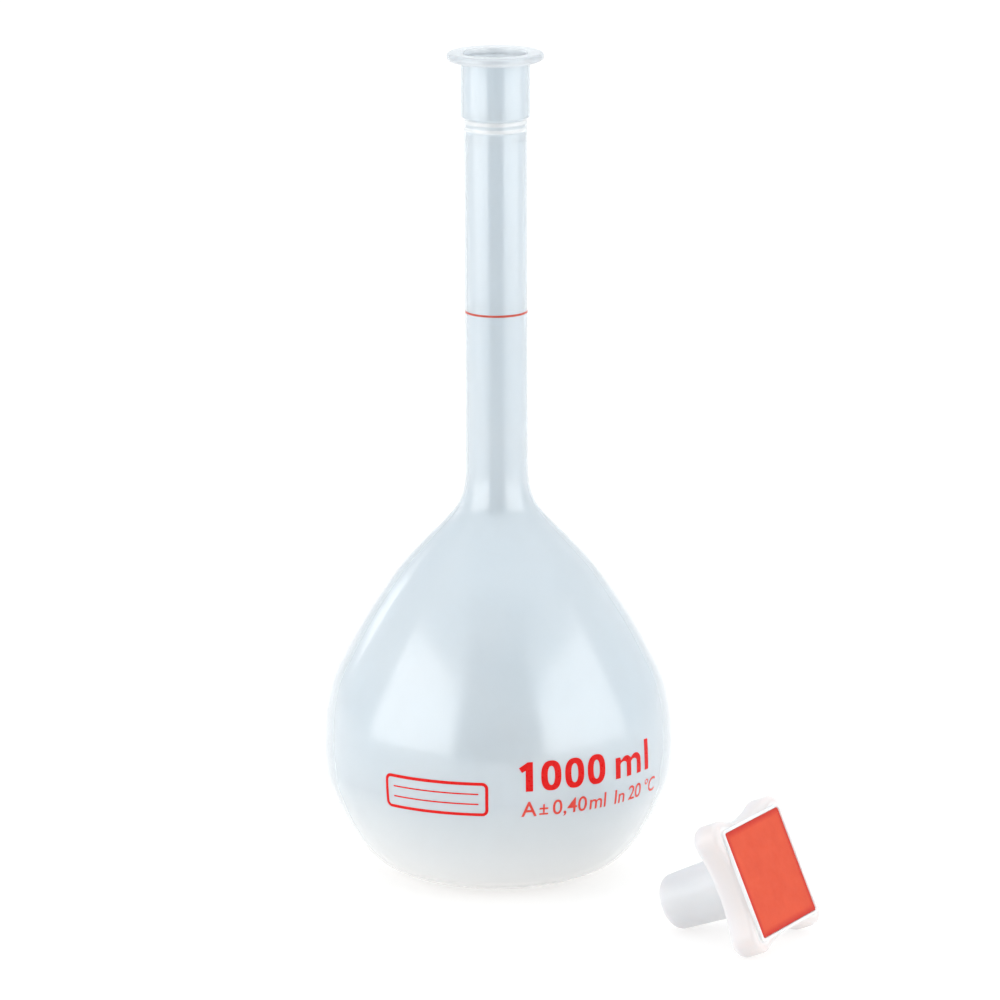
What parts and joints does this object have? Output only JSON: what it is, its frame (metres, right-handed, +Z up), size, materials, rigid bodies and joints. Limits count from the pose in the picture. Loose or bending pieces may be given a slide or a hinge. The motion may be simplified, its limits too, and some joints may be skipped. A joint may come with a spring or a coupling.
{
  "type": "volumetric flask",
  "caption": "Translucent plastic volumetric flask, pear-shaped body, long neck with filling mark and flared rim, tapered hollow stopper with a square coloured face lying beside it.",
  "frame": {"origin": "on the bench under the flask's axis, in the plane of its base", "axes": "+Z up along the flask's axis; -Y towards the front, where the capacity is printed; the stopper lies at the front right, +X and -Y"},
  "size_m": [0.1734, 0.1786, 0.295],
  "materials": {
    "flask_plastic": "translucent, smooth moulded, faintly blue",
    "mark_ink": "fired-on red print",
    "stopper_plastic": "milky translucent, smooth moulded",
    "plate_plastic": "opaque orange-red, satin"
  },
  "bodies": {
    "flask": {"flask_body": "flask_plastic", "filling_mark": "mark_ink"},
    "stopper": {"stopper": "stopper_plastic", "cover_plate": "plate_plastic"}
  },
  "joints": [
    {"name": "stopper_lift", "type": "slide", "parent": "flask", "child": "stopper", "axis": [0, 0, 1], "range_m": [0, 0.3]}
  ]
}
